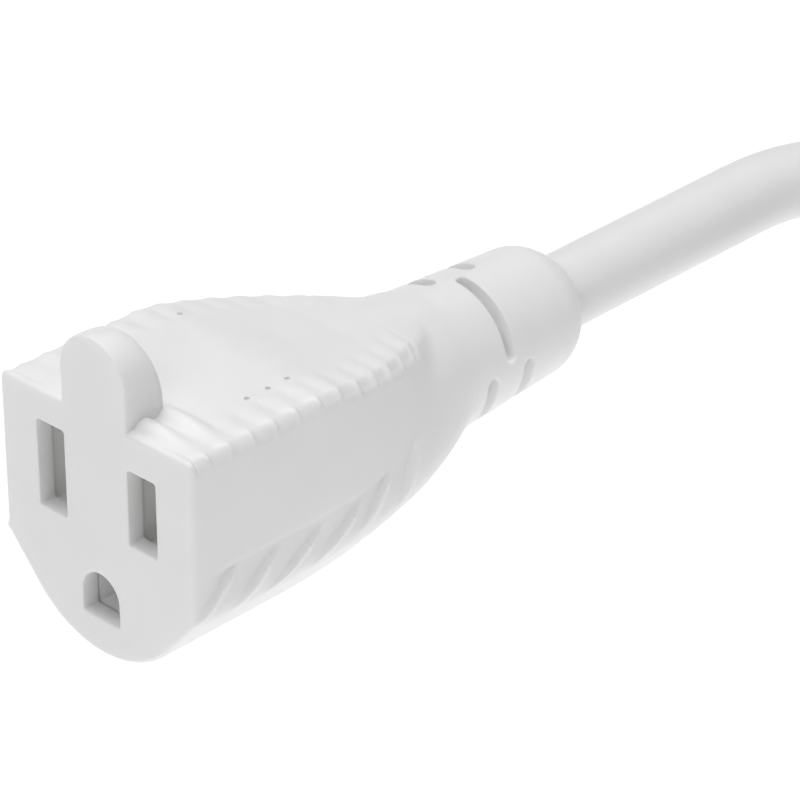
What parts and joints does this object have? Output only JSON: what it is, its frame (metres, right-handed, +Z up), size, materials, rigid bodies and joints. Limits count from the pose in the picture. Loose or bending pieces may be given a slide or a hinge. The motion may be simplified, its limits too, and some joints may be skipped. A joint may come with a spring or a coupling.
{
  "type": "extension cord",
  "caption": "Indoor grounded extension cord: moulded socket connector with finger tab, ribbed grip and slotted strain relief, round cord in a tied coil, and moulded plug.",
  "frame": {"origin": "on the floor under the middle of the socket connector", "axes": "+Z up; the connector's mating face looks along -Y, its cord leaves along +Y, and +X is to the right when the cord points away"},
  "size_m": [0.1199, 0.1964, 0.0351],
  "materials": {
    "white_vinyl": "satin moulded flexible vinyl",
    "cord_jacket": "satin extruded flexible vinyl",
    "insert_plastic": "moulded",
    "brass": "stamped sheet",
    "nickel_plate": "nickel plated",
    "copper": "stranded copper",
    "black_insulation": "extruded",
    "white_insulation": "extruded",
    "green_insulation": "extruded",
    "tie_fabric": "woven hook-and-loop strap"
  },
  "bodies": {
    "root": {"connector_body": "white_vinyl", "plug_body": "white_vinyl", "contact_carrier": "insert_plastic", "carrier_cover": "insert_plastic", "blade_holder": "insert_plastic", "line_contact": "brass", "neutral_contact": "brass", "ground_contact": "brass", "line_blade": "nickel_plate", "neutral_blade": "nickel_plate", "ground_pin": "nickel_plate", "cord_lead": "cord_jacket", "cord_coil": "cord_jacket", "cord_tail": "cord_jacket", "coil_tie": "tie_fabric", "connector_line_insulation": "black_insulation", "connector_line_conductor": "copper", "connector_neutral_insulation": "white_insulation", "connector_neutral_conductor": "copper", "connector_ground_insulation": "green_insulation", "connector_ground_conductor": "copper", "plug_line_insulation": "black_insulation", "plug_line_conductor": "copper", "plug_neutral_insulation": "white_insulation", "plug_neutral_conductor": "copper", "plug_ground_insulation": "green_insulation", "plug_ground_conductor": "copper"}
  },
  "joints": []
}
